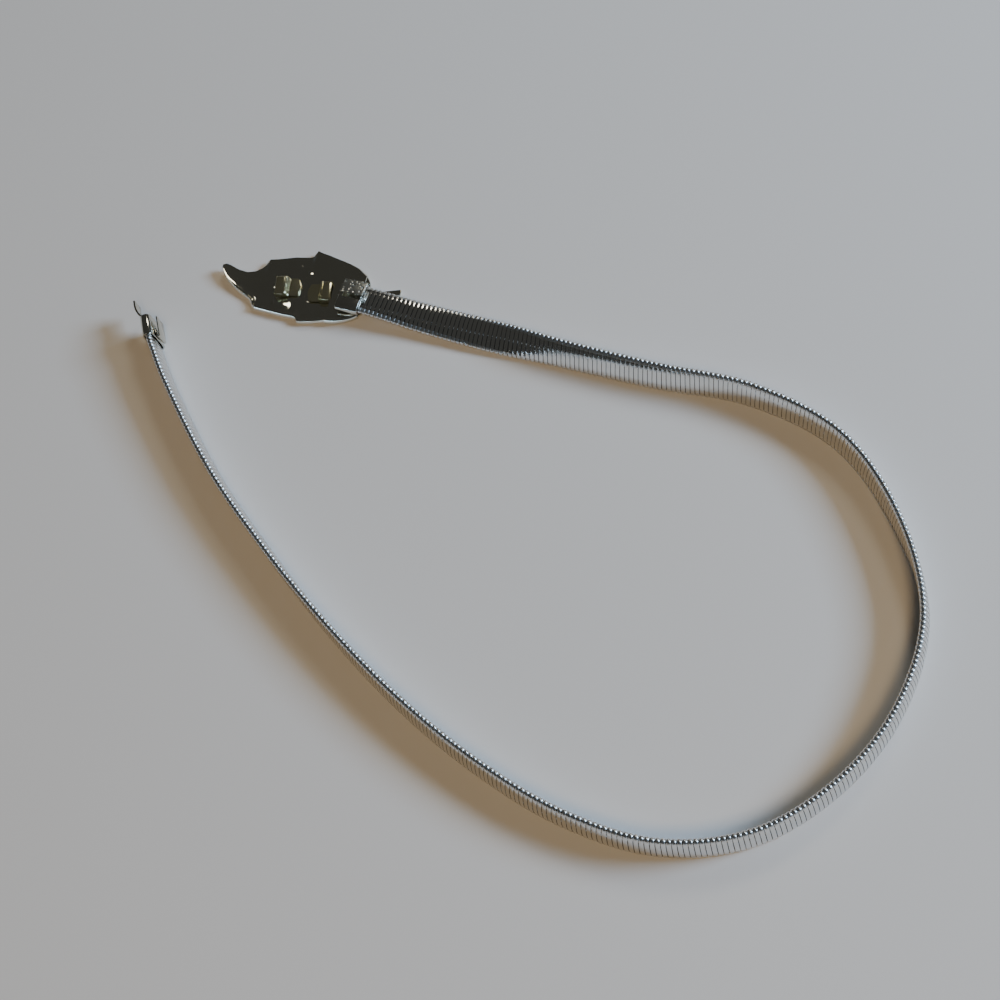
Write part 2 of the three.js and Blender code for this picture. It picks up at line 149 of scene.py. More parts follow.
def soft_lamp(name, azimuth, elevation, width, power, colour, mirrored):
    """A square soft lamp, aimed at the middle of the belt. Azimuth 0 is along +X."""
    lamp_data = bpy.data.lights.new(name, "AREA")
    lamp_data.shape = "SQUARE"
    lamp_data.size = width
    lamp_data.energy = power
    lamp_data.color = colour
    lamp = bpy.data.objects.new(name, lamp_data)
    bpy.context.scene.collection.objects.link(lamp)
    turn, rise = math.radians(azimuth), math.radians(elevation)
    flat = math.cos(rise)
    place = Vector((math.cos(turn) * flat, math.sin(turn) * flat, math.sin(rise)))
    lamp.location = place * LAMP_DISTANCE
    lamp.rotation_euler = place.to_track_quat("Z", "Y").to_euler()
    lamp.visible_glossy = mirrored


for lamp_row in LAMPS:
    soft_lamp(*lamp_row)

# %% [markdown]
# The band follows a route that was chosen along the table, with its lean and its lift at
# each place. The table below repeats the one that the imported model was built from: along and
# across are shares of the loop's length and width. A smooth curve goes through its points, and
# the other columns are eased between their rows, so the turns can be set wherever they belong.

# %% The band's route
LOOP_LENGTH = 0.304
LOOP_WIDTH = 0.163
BAND_WIDTH = 0.012
BAND_THICKNESS = 0.003
BAND_CROWN = 0.0002
SEAT_GAP = 0.0003
FERRULE_GRIP = 0.008
FERRULE_WALL = 0.0005
ROUTE = [
    # along, across, lean, rear, free
    (0.205, 0.897, 97, 1, 0),
    (0.233, 0.904, 97, 1, 0),
    (0.359, 0.925, 78, 0.3, 0),
    (0.484, 0.942, 31, 0, 0),
    (0.605, 0.967, 22, 0, 0),
    (0.718, 0.999, 13, 0, 0),
    (0.83, 0.966, 7, 0, 0),
    (0.922, 0.837, 1, 0, 0),
    (0.987, 0.66, -12, 0, 0),
    (0.997, 0.453, -11, 0, 0),
    (0.969, 0.27, -10, 0, 0),
    (0.911, 0.115, -10, 0, 0),
    (0.825, 0.022, -10, 0, 0),
    (0.724, 0, -10, 0, 0),
    (0.619, 0.024, -9.5, 0, 0),
    (0.511, 0.078, -7.5, 0, 0),
    (0.402, 0.158, -4, 0, 0),
    (0.291, 0.262, 5, 0, 0),
    (0.176, 0.386, 7, 0, 0.1),
    (0.064, 0.542, 6.5, 0, 0.7),
    (0.031, 0.596, 6, 0, 0.95),
    (0.017, 0.621, 6, 0, 1),
    (0, 0.66, 6, 0, 1),
]
stops = [Vector((row[0] * LOOP_LENGTH, row[1] * LOOP_WIDTH, 0)) for row in ROUTE]
spans = [(b - a).length for a, b in zip(stops, stops[1:])]
print("route rows:", len(stops))

# %% Smooth curve and eased columns


def route_point(t):
    """Place and direction on the centripetal curve through the stops, t from 0 to 1."""
    last = len(stops) - 1
    i = min(int(t * last), last - 1)
    w = t * last - i
    p1, p2 = stops[i], stops[i + 1]
    p0 = stops[i - 1] if i > 0 else 2 * p1 - p2
    p3 = stops[i + 2] if i + 2 <= last else 2 * p2 - p1
    d0, d1, d2 = (math.sqrt((b - a).length) for a, b in ((p0, p1), (p1, p2), (p2, p3)))
    leave = ((p1 - p0) / d0 - (p2 - p0) / (d0 + d1) + (p2 - p1) / d1) * d1
    arrive = ((p2 - p1) / d1 - (p3 - p1) / (d1 + d2) + (p3 - p2) / d2) * d1
    square = 3 * (p2 - p1) - 2 * leave - arrive
    cube = 2 * (p1 - p2) + leave + arrive
    place = p1 + leave * w + square * w * w + cube * w**3
    way = leave + 2 * square * w + 3 * cube * w * w
    return place, way.normalized()


def eased_column(column):
    """A column of the route as a function of t, which never overshoots its rows."""
    values = [row[column] for row in ROUTE]
    steep = [(b - a) / span for a, b, span in zip(values, values[1:], spans)]
    slopes = [0.0]
    for before, after in zip(steep, steep[1:]):
        slopes.append(2 * before * after / (before + after) if before * after > 0 else 0.0)
    slopes.append(0.0)

    def value(t):
        i = min(int(t * len(spans)), len(spans) - 1)
        w = t * len(spans) - i
        rest = 1 - w
        start = values[i] * (1 + 2 * w) * rest * rest
        end = values[i + 1] * (3 - 2 * w) * w * w
        return start + end + spans[i] * w * rest * (slopes[i] * rest - slopes[i + 1] * w)

    return value


lean_at, rear_at, free_at = eased_column(2), eased_column(3), eased_column(4)
FINE_STEPS = 2000
walk = [0.0]
for k in range(FINE_STEPS):
    here, there = route_point(k / FINE_STEPS)[0], route_point((k + 1) / FINE_STEPS)[0]
    walk.append(walk[-1] + (there - here).length)
coil_length = walk[-1]


def along_route(distance):
    """The curve's t at a distance from the rear end of the coil."""
    low, high = 0, FINE_STEPS
    while high - low > 1:
        half = (low + high) // 2
        if walk[half] <= distance:
            low = half
        else:
            high = half
    return (low + (distance - walk[low]) / (walk[high] - walk[low])) / FINE_STEPS


print("coil length:", round(coil_length, 4))

# %% [markdown]
# Each place on the band needs a full set of axes: forward along the band, out of the face that
# looks into the loop, and up to the edge that stands up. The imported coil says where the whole
# belt lies, so the route is moved until its own box meets the box of that piece.

# %% Frames along the band
HOOK_STEP = 0.0034
HOOK_THICKNESS = 0.0007
PLATE_THICKNESS = 0.001
TONGUE_CLEARANCE = 0.0008


def rest_height(lean):
    """Height of the band's middle where its edge rests on the table."""
    return (BAND_WIDTH - BAND_THICKNESS) / 2 * abs(math.cos(lean)) + BAND_THICKNESS / 2


FREE_LIFT = SEAT_GAP + FERRULE_WALL
TONGUE_HEIGHT = PLATE_THICKNESS + TONGUE_CLEARANCE + HOOK_THICKNESS / 2
REAR_LIFT = TONGUE_HEIGHT + HOOK_STEP - rest_height(math.radians(ROUTE[0][2]))
row_shift = Vector((0, 0, 0))


def band_axes(distance):
    """Origin, forward, inner face and upper edge at a distance along the coil."""
    t = along_route(distance)
    origin, forward = route_point(t)
    lean = math.radians(lean_at(t))
    origin.z = rest_height(lean) + REAR_LIFT * rear_at(t) + FREE_LIFT * free_at(t)
    outward = Vector((-forward.y, forward.x, 0))
    upper = outward * math.sin(lean) + Vector((0, 0, math.cos(lean)))
    return origin + row_shift, forward, forward.cross(upper), upper


def half_reach(axes):
    """How far the band's section reaches from its middle along X and Y."""
    round_part = BAND_THICKNESS / 2
    straight = BAND_WIDTH / 2 - round_part
    return [abs(axes[3][k]) * straight + round_part for k in (0, 1)]


CHECK_STEPS = 800
coil_low, coil_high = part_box("coil_band")
edges = []
for k in range(CHECK_STEPS + 1):
    axes = band_axes(coil_length * k / CHECK_STEPS)
    reach = half_reach(axes)
    edges.append([(axes[0][j] - reach[j], axes[0][j] + reach[j]) for j in (0, 1)])
for j in (0, 1):
    low = min(edge[j][0] for edge in edges)
    high = max(edge[j][1] for edge in edges)
    row_shift[j] = (coil_low[j] + coil_high[j]) / 2 - (low + high) / 2
print("route moved by:", [round(v, 5) for v in row_shift])

# %% [markdown]
# A few small helpers serve every piece. Operators act on whatever is selected, so pick() clears
# the selection and then selects by place. shift_picked() and scale_picked() are the two moves
# used most in edit mode. finish_piece() gives a piece its name, its slot and its material.

# %% Helpers for modelling
MODES = {"VERT": 0, "EDGE": 1, "FACE": 2}


def select_only(*pieces):
    """Selects these pieces and nothing else, with the first of them active."""
    select_none()
    for piece in pieces:
        piece.select_set(True)
    bpy.context.view_layer.objects.active = pieces[0]


def pick(piece, test, kind="VERT"):
    """Selects the vertices, edges or faces whose middle passes a test, in edit mode."""
    bpy.ops.object.mode_set(mode="OBJECT")
    mesh = piece.data
    for group in (mesh.vertices, mesh.edges, mesh.polygons):
        group.foreach_set("select", [False] * len(group))
    if kind == "VERT":
        for vertex in mesh.vertices:
            vertex.select = test(vertex.co)
    elif kind == "EDGE":
        for edge in mesh.edges:
            ends = [mesh.vertices[v].co for v in edge.vertices]
            edge.select = test((ends[0] + ends[1]) / 2, ends[1] - ends[0])
    else:
        for face in mesh.polygons:
            face.select = test(face.center, face.normal)
    bpy.context.tool_settings.mesh_select_mode = [MODES[kind] == k for k in range(3)]
    bpy.ops.object.mode_set(mode="EDIT")


def everything(*_):
    """A test for pick() that every part of the mesh passes."""
    return True


def shift_picked(x=0.0, y=0.0, z=0.0):
    """Moves what is picked."""
    bpy.ops.transform.translate(value=(x, y, z))


def scale_picked(x=1.0, y=1.0, z=1.0, centre=(0, 0, 0)):
    """Stretches or shrinks what is picked about a centre."""
    bpy.ops.transform.resize(value=(x, y, z), center_override=centre)


def leave_edit():
    """Back to object mode."""
    bpy.ops.object.mode_set(mode="OBJECT")


def apply_place(piece):
    """Puts a piece's place and turn into its mesh."""
    select_only(piece)
    bpy.ops.object.transform_apply(location=True, rotation=True, scale=True)
    return piece


def apply_modifier(piece, kind, **values):
    """Adds one modifier, sets its values and applies it."""
    modifier = piece.modifiers.new(kind.lower(), kind)
    for key, value in values.items():
        setattr(modifier, key, value)
    bpy.context.view_layer.objects.active = piece
    bpy.ops.object.modifier_apply(modifier=modifier.name)


def join_pieces(*pieces):
    """Joins pieces into the first of them and turns all faces outward."""
    select_only(*pieces)
    bpy.ops.object.join()
    pick(pieces[0], everything)
    bpy.ops.mesh.normals_make_consistent(inside=False)
    leave_edit()
    return pieces[0]


def finish_piece(piece, name, material, node, angle=40):
    """Names a piece, smooths it, gives it its material and lets it ride on the belt."""
    leave_edit()
    select_only(piece)
    bpy.ops.object.shade_smooth_by_angle(angle=math.radians(angle))
    piece.name = name
    piece.data.name = name
    piece.data.materials.clear()
    piece.data.materials.append(material)
    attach(piece, "root")
    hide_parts(node)
    print(name, "faces:", len(piece.data.polygons))


print("helpers ready")


# %% [markdown]
# All the metal here is steel with a bright plating. A plain mirror looks unreal, because plating
# is never even: it has faint clouds of haze, a slightly warm or cool cast, and fine scratches.
# One function makes the family of finishes, and each piece sets how dark, how rough and how
# uneven it is. The patterns read Object coordinates, so they stay with the metal.

# %% Plated metal
CLOUD_SCALE = 160.0
GRAIN_SCALE = 900.0
GRAIN_DEPTH = 0.0002
PIT_SCALE = 750.0
PIT_REACH = 0.45
PIT_DEPTH = 0.0003
BEST_POLISH = 0.02
SATIN_ROUGHNESS = 0.34
# Painted shade: the strip's hollow back and the seams between turns are painted near black, so light
# does not show through the coil
PAINTED_SHADE_COLOUR = (0.03, 0.03, 0.03, 1)
INSIDE_ROUGHNESS = 0.6


def blend_of(tree, share, first, second, colour=False):
    """A Mix node's output. Share, first and second are plain values or other nodes' outputs."""
    blend = add_node(tree, "ShaderNodeMix", data_type="RGBA" if colour else "FLOAT")
    places = (0, 6, 7) if colour else (0, 2, 3)
    for number, value in zip(places, (share, first, second)):
        if isinstance(value, bpy.types.NodeSocket):
            tree.links.new(value, blend.inputs[number])
        else:
            blend.inputs[number].default_value = value
    return blend.outputs[2 if colour else 0]


def plated_metal(
    name, bright, dull, roughness, haze=0.08, grain=0.02, pits=0.0, bent=None, inside=None
):
    """Polished plating between two colours, with hazy clouds, fine grain and optional pits.

    Where the attribute named as bent is 1, the metal is satin, as bending leaves it. Where the
    one named as inside is 1, shade is painted: the colour is near black and the metal blunt.
    """
    material, tree, shader = node_material(name)
    link = tree.links.new
    place = add_node(tree, "ShaderNodeTexCoord")
    clouds = add_node(tree, "ShaderNodeTexNoise", Scale=CLOUD_SCALE, Detail=4.0, Roughness=0.55)
    link(place.outputs["Object"], clouds.inputs["Vector"])
    colour = blend_of(tree, clouds.outputs["Fac"], (*bright, 1), (*dull, 1), colour=True)
    shader.inputs["Metallic"].default_value = 1.0
    spread = add_node(tree, "ShaderNodeMapRange")
    spread.inputs["To Min"].default_value = max(roughness - haze / 2, BEST_POLISH)
    spread.inputs["To Max"].default_value = roughness + haze / 2
    link(clouds.outputs["Fac"], spread.inputs["Value"])
    rough = spread.outputs["Result"]
    if bent:
        mask = add_node(tree, "ShaderNodeAttribute", attribute_name=bent)
        rough = blend_of(tree, mask.outputs["Fac"], rough, SATIN_ROUGHNESS)
    # Painted shade: where this mask is 1 the colour is near black
    if inside:
        mask = add_node(tree, "ShaderNodeAttribute", attribute_name=inside)
        colour = blend_of(tree, mask.outputs["Fac"], colour, PAINTED_SHADE_COLOUR, colour=True)
        rough = blend_of(tree, mask.outputs["Fac"], rough, INSIDE_ROUGHNESS)
    link(colour, shader.inputs["Base Color"])
    link(rough, shader.inputs["Roughness"])
    fine = add_node(tree, "ShaderNodeTexNoise", Scale=GRAIN_SCALE, Detail=3.0)
    link(place.outputs["Object"], fine.inputs["Vector"])
    bump = add_node(tree, "ShaderNodeBump", Strength=grain, Distance=GRAIN_DEPTH)
    link(fine.outputs["Fac"], bump.inputs["Height"])
    last = bump
    if pits:
        dents = add_node(tree, "ShaderNodeTexVoronoi", Scale=PIT_SCALE)
        link(place.outputs["Object"], dents.inputs["Vector"])
        edge = add_node(tree, "ShaderNodeMapRange")
        edge.inputs["From Max"].default_value = PIT_REACH
        link(dents.outputs["Distance"], edge.inputs["Value"])
        pitted = add_node(tree, "ShaderNodeBump", Strength=pits, Distance=PIT_DEPTH)
        link(edge.outputs["Result"], pitted.inputs["Height"])
        link(bump.outputs["Normal"], pitted.inputs["Normal"])
        last = pitted
    link(last.outputs["Normal"], shader.inputs["Normal"])
    return material


strip_metal = plated_metal(
    "strip_metal",
    (0.84, 0.84, 0.83),
    (0.74, 0.74, 0.72),
    0.13,
    bent="strip_bend",
    inside="strip_painted_shade",
)
fitting_metal = plated_metal("fitting_metal", (0.7, 0.69, 0.63), (0.58, 0.57, 0.5), 0.12)
hammered_metal = plated_metal(
    "hammered_metal", (0.82, 0.82, 0.76), (0.66, 0.66, 0.58), 0.3, grain=0.05, pits=1.0
)
leaf_metal = plated_metal("leaf_metal", (0.74, 0.73, 0.64), (0.67, 0.65, 0.55), 0.1, grain=0.015)
catch_metal = plated_metal("catch_metal", (0.96, 0.92, 0.66), (0.86, 0.8, 0.5), 0.16)
print("materials:", len(bpy.data.materials))

# %% [markdown]
# The coil is one strip, wound some four hundred times round a flat former. A screw modifier could
# sweep it, but the band bends and leans all the way round the loop. So one turn is modelled by
# itself: a short tube, pulled apart into a flat oval, crowned on its faces, bevelled on its edges,
# cut open and then moved along little by little, so that its end lies one pitch past its start.

# %% Size of one turn
TURN_TARGET = 0.0017
TURNS = round(coil_length / TURN_TARGET) - 1
PITCH = coil_length / (TURNS + 1)
STRIP_GAP = 0.0001
STRIP_DEPTH = 0.0005
STRIP_CROWN = 0.00042
SHOULDER = 0.00006
SHOULDER_DROP = 0.00001
BEAD_SHOULDER = 0.6
BEAD_DROP = 0.00042
TURN_EASE = 0.00008
TURN_WIDTH = BAND_WIDTH - TURN_EASE
TURN_THICKNESS = BAND_THICKNESS - TURN_EASE
EDGE_SIDES = 12
OPEN_AT = 0.0018
LAST_CUT = 0.0044
TINY = 0.00001
print("turns:", TURNS, "pitch:", round(PITCH, 6))


def cut_across(piece, place, normal):
    """Adds a loop of edges where a plane crosses the whole piece."""
    pick(piece, everything)
    bpy.ops.mesh.bisect(plane_co=place, plane_no=normal, threshold=TINY / 10)


def flat_oval(width, thickness, crown, depth, sides, cuts, capped=False):
    """A tube along X with a flat oval section: its width along Y, its thickness along Z."""
    round_part = thickness / 2 - crown
    straight = width / 2 - round_part
    flat_turn = math.pi / sides
    select_none()
    bpy.ops.mesh.primitive_cylinder_add(
        vertices=sides,
        radius=round_part / math.cos(flat_turn),
        depth=depth,
        end_fill_type="NGON" if capped else "NOTHING",
        rotation=(math.pi / 2, flat_turn, math.pi / 2),
    )
    piece = apply_place(bpy.context.object)
    for sign in (1, -1):
        pick(piece, lambda co: co.y * sign > TINY)
        shift_picked(y=sign * straight)
    for place in sorted({sign * cut for cut in cuts for sign in (1, -1)}):
        cut_across(piece, (0, place, 0), (0, 1, 0))
    for cut in cuts:
        rise = crown * (1 - (cut / straight) ** 2)
        pick(piece, lambda co: abs(abs(co.y) - cut) < TINY)
        scale_picked(z=(round_part + rise) / round_part)
    leave_edit()
    return piece


turn = flat_oval(
    TURN_WIDTH, TURN_THICKNESS, STRIP_CROWN, PITCH - STRIP_GAP, EDGE_SIDES, (OPEN_AT, LAST_CUT)
)
print("turn faces:", len(turn.data.polygons), [round(v, 5) for v in turn.dimensions])

# %% [markdown]
# On the real strip the long edges are rounded, and where it bends round the band's edge it swells
# into a bead. The edge rings are sunk a hair on the flat faces and deep at the round edges, and the
# inside is bridged from edge to edge, which makes the strip a closed body. Two face attributes tell
# the finish where the strip is bent, and where it lies inside or in a seam. Inside and in the seams
# the finish paints shade, near black, so the floor's light does not show through the gaps between
# turns.

# %% Shoulders and hollow back of the strip
HALF_STRIP = (PITCH - STRIP_GAP) / 2
ROUND_PART = TURN_THICKNESS / 2 - STRIP_CROWN
ROUND_CENTRE = TURN_WIDTH / 2 - ROUND_PART


def sink_ring(test, face_depth, edge_depth):
    """Moves a ring of the flat oval inward: the faces in Z, and the round edges to their centre."""
    pick(turn, lambda co: test(co) and abs(co.y) < LAST_CUT + TINY)
    scale_picked(z=1 - face_depth / ROUND_PART)
    share = 1 - edge_depth / ROUND_PART
    for sign in (1, -1):
        pick(turn, lambda co: test(co) and co.y * sign > LAST_CUT + TINY)
        scale_picked(y=share, z=share, centre=(0, sign * ROUND_CENTRE, 0))


for place in (HALF_STRIP - SHOULDER, SHOULDER - HALF_STRIP):
    cut_across(turn, (place, 0, 0), (1, 0, 0))
pick(turn, lambda co: abs(co.x) < HALF_STRIP - TINY and abs(co.y) > LAST_CUT + TINY)
scale_picked(x=BEAD_SHOULDER)
sink_ring(lambda co: abs(co.x) > HALF_STRIP - TINY, SHOULDER_DROP, BEAD_DROP)
pick(turn, lambda middle, way: abs(middle.x) > HALF_STRIP - TINY, "EDGE")
bpy.ops.mesh.bridge_edge_loops(number_cuts=1)
sink_ring(lambda co: abs(co.x) < TINY, STRIP_DEPTH - SHOULDER_DROP, STRIP_DEPTH - BEAD_DROP)
leave_edit()
turn.data.attributes.new("strip_painted_shade", "FLOAT", "FACE")
turn.data.attributes.new("strip_bend", "FLOAT", "FACE")
back, bend = (turn.data.attributes[name].data for name in ("strip_painted_shade", "strip_bend"))
# Painted shade: faces inside the hollow back and the seam shoulders are marked to be painted near
# black
for face in turn.data.polygons:
    x, y = abs(face.center.x), abs(face.center.y)
    in_seam = x > HALF_STRIP - SHOULDER and y < LAST_CUT
    if HALF_STRIP / 4 < x < HALF_STRIP * 3 / 4 or in_seam:
        back[face.index].value = 1.0
    if y > LAST_CUT + TINY:
        bend[face.index].value = 1.0
print("turn faces:", len(turn.data.polygons))

# %% [markdown]
# The turn is still a closed ring. The middle of its outer face is taken out, and the end there is
# drawn across the gap again, so the first and the last section are two sections in one place. Each
# point then gets its share of the way round, from 0 at the first section to 1 at the last.

# %% Cutting the ring open
pick(turn, lambda middle, normal: abs(middle.y) < OPEN_AT - TINY and middle.z < 0, "FACE")
bpy.ops.mesh.delete(type="FACE")
closed_count = len(turn.data.vertices)


def at_open_end(middle, way):
    """The edges of the open section on the lower side of the gap."""
    return abs(middle.y + OPEN_AT) < TINY and middle.z < 0 and abs(way.y) < TINY


pick(turn, at_open_end, "EDGE")
bpy.ops.mesh.extrude_region_move(TRANSFORM_OT_translate={"value": (0, 2 * OPEN_AT, 0)})
leave_edit()
print("sections:", len(turn.data.vertices) / 5)


def walk_round(co):
    """How far round the flat oval a place is, as a share of one turn from the cut."""
    face, arc = 2 * ROUND_CENTRE, math.pi * ROUND_PART
    before_edge = ROUND_CENTRE - OPEN_AT
    if abs(co.y) > ROUND_CENTRE:
        sign = 1 if co.y > 0 else -1
        angle = math.atan2(co.z, (co.y - sign * ROUND_CENTRE) * sign)
        start = before_edge + (0 if sign > 0 else face + arc)
        walked = start + arc * (0.5 + sign * angle / math.pi)
    elif co.z > 0:
        walked = before_edge + arc + ROUND_CENTRE - co.y
    else:
        walked = co.y - OPEN_AT
    return (walked / (2 * face + 2 * arc)) % 1


shares = []
for vertex in turn.data.vertices:
    share = walk_round(vertex.co)
    if vertex.index >= closed_count:
        share = 1.0
    elif abs(vertex.co.y - OPEN_AT) < TINY and vertex.co.z < 0:
        share = 0.0
    shares.append(share)
print("shares:", sorted({round(share, 2) for share in shares}))

# %% [markdown]
# Every copy of the turn is laid into the band's own axes. A point that is further round is also
# further along, by up to one pitch, as in any coil. Neighbouring turns then meet in one section,
# where their points are merged, and the two open ends of the whole strip are closed with a face.

# %% Winding the coil
coil_parts = []
for number in range(TURNS):
    copy = turn.copy()
    copy.data = turn.data.copy()
    bpy.context.scene.collection.objects.link(copy)
    axes_here = {}
    for vertex, share in zip(copy.data.vertices, shares):
        key = round(share, 4)
        if key not in axes_here:
            axes_here[key] = band_axes((number + 0.5 + share) * PITCH)
        origin, forward, inner, upper = axes_here[key]
        x, y, z = vertex.co
        vertex.co = origin + forward * x + upper * y + inner * z
    coil_parts.append(copy)
bpy.data.objects.remove(turn)
select_only(*coil_parts)
bpy.ops.object.join()
coil = coil_parts[0]
pick(coil, everything)
bpy.ops.mesh.remove_doubles(threshold=TINY / 2)
bpy.ops.mesh.select_all(action="DESELECT")
bpy.ops.mesh.select_mode(type="EDGE")
bpy.ops.mesh.select_non_manifold()
bpy.ops.mesh.edge_face_add()
bpy.ops.mesh.select_all(action="SELECT")
bpy.ops.mesh.normals_make_consistent(inside=False)
finish_piece(coil, "coil_strip", strip_metal, "coil_band", angle=50)

# %% [markdown]
# Each end of the coil sits in a ferrule, a flattened cup pressed from sheet. It is modelled as a
# capped flat oval with a soft rim at the closed end. The cap at the mouth is taken away, and the
# Solidify modifier then gives the wall its thickness inward.

# %% Axes of the two ends
FERRULE_MARGIN = SEAT_GAP + FERRULE_WALL
CAP_OUTSIDE = SEAT_GAP + FERRULE_WALL


def grip_axes(rear):
    """Middle of the coil's end, with the axes out along the band, inner face and width."""
    ends = (0, FERRULE_GRIP) if rear else (coil_length, coil_length - FERRULE_GRIP)
    origin, _, inner, upper = band_axes(ends[0])
    out = (origin - band_axes(ends[1])[0]).normalized()
    upper = (upper - out * upper.dot(out)).normalized()
    inner = out.cross(upper) * (-1 if rear else 1)
    return origin, out, inner, upper * (1 if rear else -1)


def set_in_place(piece, origin, x_axis, y_axis, z_axis):
    """Moves a piece from its own axes to its place on the belt, and puts that in its mesh."""
    turned = Matrix((x_axis, y_axis, z_axis)).transposed().to_4x4()
    piece.matrix_world = Matrix.Translation(origin) @ turned
    return apply_place(piece)


rear_end, free_end = grip_axes(True), grip_axes(False)
for end_name, ends in (("rear", rear_end), ("free", free_end)):
    print(end_name, "end:", [round(v, 4) for v in ends[0]])

# %% Ferrules
CUP_LENGTH = FERRULE_GRIP + CAP_OUTSIDE
CUP_CUTS = (0.0, 0.0016, 0.0032)
CUP_SIDES = 28
CUP_EASE = 0.00014
CUP_RIM = 0.00035
MOUTH_RIM = 0.00012


def round_edges(piece, test, width, segments=3):
    """Bevels the edges that a test picks."""
    pick(piece, test, "EDGE")
    bpy.ops.mesh.bevel(offset=width, segments=segments, affect="EDGES", clamp_overlap=True)
    leave_edit()


def make_ferrule(name, ends, node):
    """One cup, modelled along X and then pushed over its end of the coil."""
    width = BAND_WIDTH + 2 * FERRULE_MARGIN - CUP_EASE
    thickness = BAND_THICKNESS + 2 * FERRULE_MARGIN - CUP_EASE / 2
    cup = flat_oval(width, thickness, BAND_CROWN, CUP_LENGTH, CUP_SIDES, CUP_CUTS, capped=True)
    half = CUP_LENGTH / 2
    pick(cup, lambda middle, normal: middle.x < TINY - half, "FACE")
    bpy.ops.mesh.delete(type="ONLY_FACE")
    round_edges(cup, lambda middle, way: middle.x > half - TINY and abs(way.x) < TINY, CUP_RIM)
    apply_modifier(cup, "SOLIDIFY", thickness=FERRULE_WALL, offset=-1, use_even_offset=True)
    round_edges(cup, lambda middle, way: middle.x < TINY - half and abs(way.x) < TINY, MOUTH_RIM, 2)
    origin, out, inner, width_axis = ends
    set_in_place(cup, origin + out * (CAP_OUTSIDE - half), out, width_axis, -inner)
    finish_piece(cup, name, fitting_metal, node)


make_ferrule("rear_cup", rear_end, "rear_ferrule")
make_ferrule("free_cup", free_end, "free_ferrule")

# %% [markdown]
# Hooks, springs and catches are all bent from flat strip. A plane is the first short length of
# the strip, and its end edge is drawn on from point to point, as in a bending jig. The sheet then
# gets its thickness, and a small bevel takes the sharpness off its edges, as tumbling does.

# %% Bending strip
HOOK_WIDTH = 0.0054
HOOK_FOOT = 0.0024
HOOK_REACH = 0.0044
HOOK_TONGUE = 0.0035
HOOK_OFFSET = 0.0022
NECK_BEND = 0.45
NECK_DROP = 0.6
NECK_RADIUS = 0.0009
BEND_STEPS = 4
NEAR_END = 0.4
SOFT_EDGE = 0.0001
THIN_EDGE = 0.00008


def eased_path(points, radius):
    """The same path with each inner corner drawn as a short curve."""
    path = [Vector(points[0])]
    for before, corner, after in zip(points, points[1:], points[2:]):
        before, corner, after = Vector(before), Vector(corner), Vector(after)
        cut = min(radius, (before - corner).length * 0.45, (after - corner).length * 0.45)
        start = corner + (before - corner).normalized() * cut
        end = corner + (after - corner).normalized() * cut
        for k in range(BEND_STEPS + 1):
            w = k / BEND_STEPS
            path.append(start * (1 - w) ** 2 + corner * 2 * w * (1 - w) + end * w * w)
    path.append(Vector(points[-1]))
    return path


def drawn_sheet(path, width):
    """A sheet drawn on from point to point of a path in X and Y, with its width along Z."""
    select_none()
    bpy.ops.mesh.primitive_plane_add(size=1, location=(0, 0, 0), rotation=(math.pi / 2, 0, 0))
    sheet = apply_place(bpy.context.object)
    for sign, point in ((-1, path[0]), (1, path[1])):
        pick(sheet, lambda co: co.x * sign > NEAR_END)
        scale_picked(z=width)
        shift_picked(x=point[0] - sign * 0.5, y=point[1])
    for before, point in zip(path[1:], path[2:]):
        end = Vector((*before, 0))
        pick(sheet, lambda middle, way: (middle - end).length < TINY, "EDGE")
        step = point - before
        bpy.ops.mesh.extrude_region_move(TRANSFORM_OT_translate={"value": (*step, 0)})
    leave_edit()
    return sheet


def thicken(sheet, thickness, soften):
    """Gives a sheet its thickness, half to each side, and softens its edges."""
    apply_modifier(sheet, "SOLIDIFY", thickness=thickness, offset=0, use_even_offset=True)
    corner = math.radians(60)
    apply_modifier(sheet, "BEVEL", width=soften, segments=2, limit_method="ANGLE", angle_limit=corner)


FERRULE_FACE = BAND_THICKNESS / 2 + FERRULE_MARGIN
foot_face = CAP_OUTSIDE + SEAT_GAP + HOOK_THICKNESS / 2
neck_start = HOOK_THICKNESS - FERRULE_FACE
hook_line = [
    (foot_face, neck_start + HOOK_FOOT),
    (foot_face, neck_start),
    (foot_face + HOOK_REACH * NECK_BEND, neck_start - (HOOK_STEP + neck_start) * NECK_DROP),
    (foot_face + HOOK_REACH, -HOOK_STEP),
    (foot_face + HOOK_REACH + HOOK_TONGUE, -HOOK_STEP),
]


def make_hook(name, ends, offset, node):
    """One hook: its foot on the ferrule's end, its sloping neck and its flat tongue."""
    piece = drawn_sheet(eased_path(hook_line, NECK_RADIUS), HOOK_WIDTH)
    thicken(piece, HOOK_THICKNESS, SOFT_EDGE)
    origin, out, inner, width_axis = ends
    set_in_place(piece, origin + width_axis * offset, out, inner, width_axis)
    finish_piece(piece, name, fitting_metal, node)


make_hook("rear_tongue_hook", rear_end, HOOK_OFFSET, "rear_hook")
make_hook("free_tongue_hook", free_end, -HOOK_OFFSET, "free_hook")
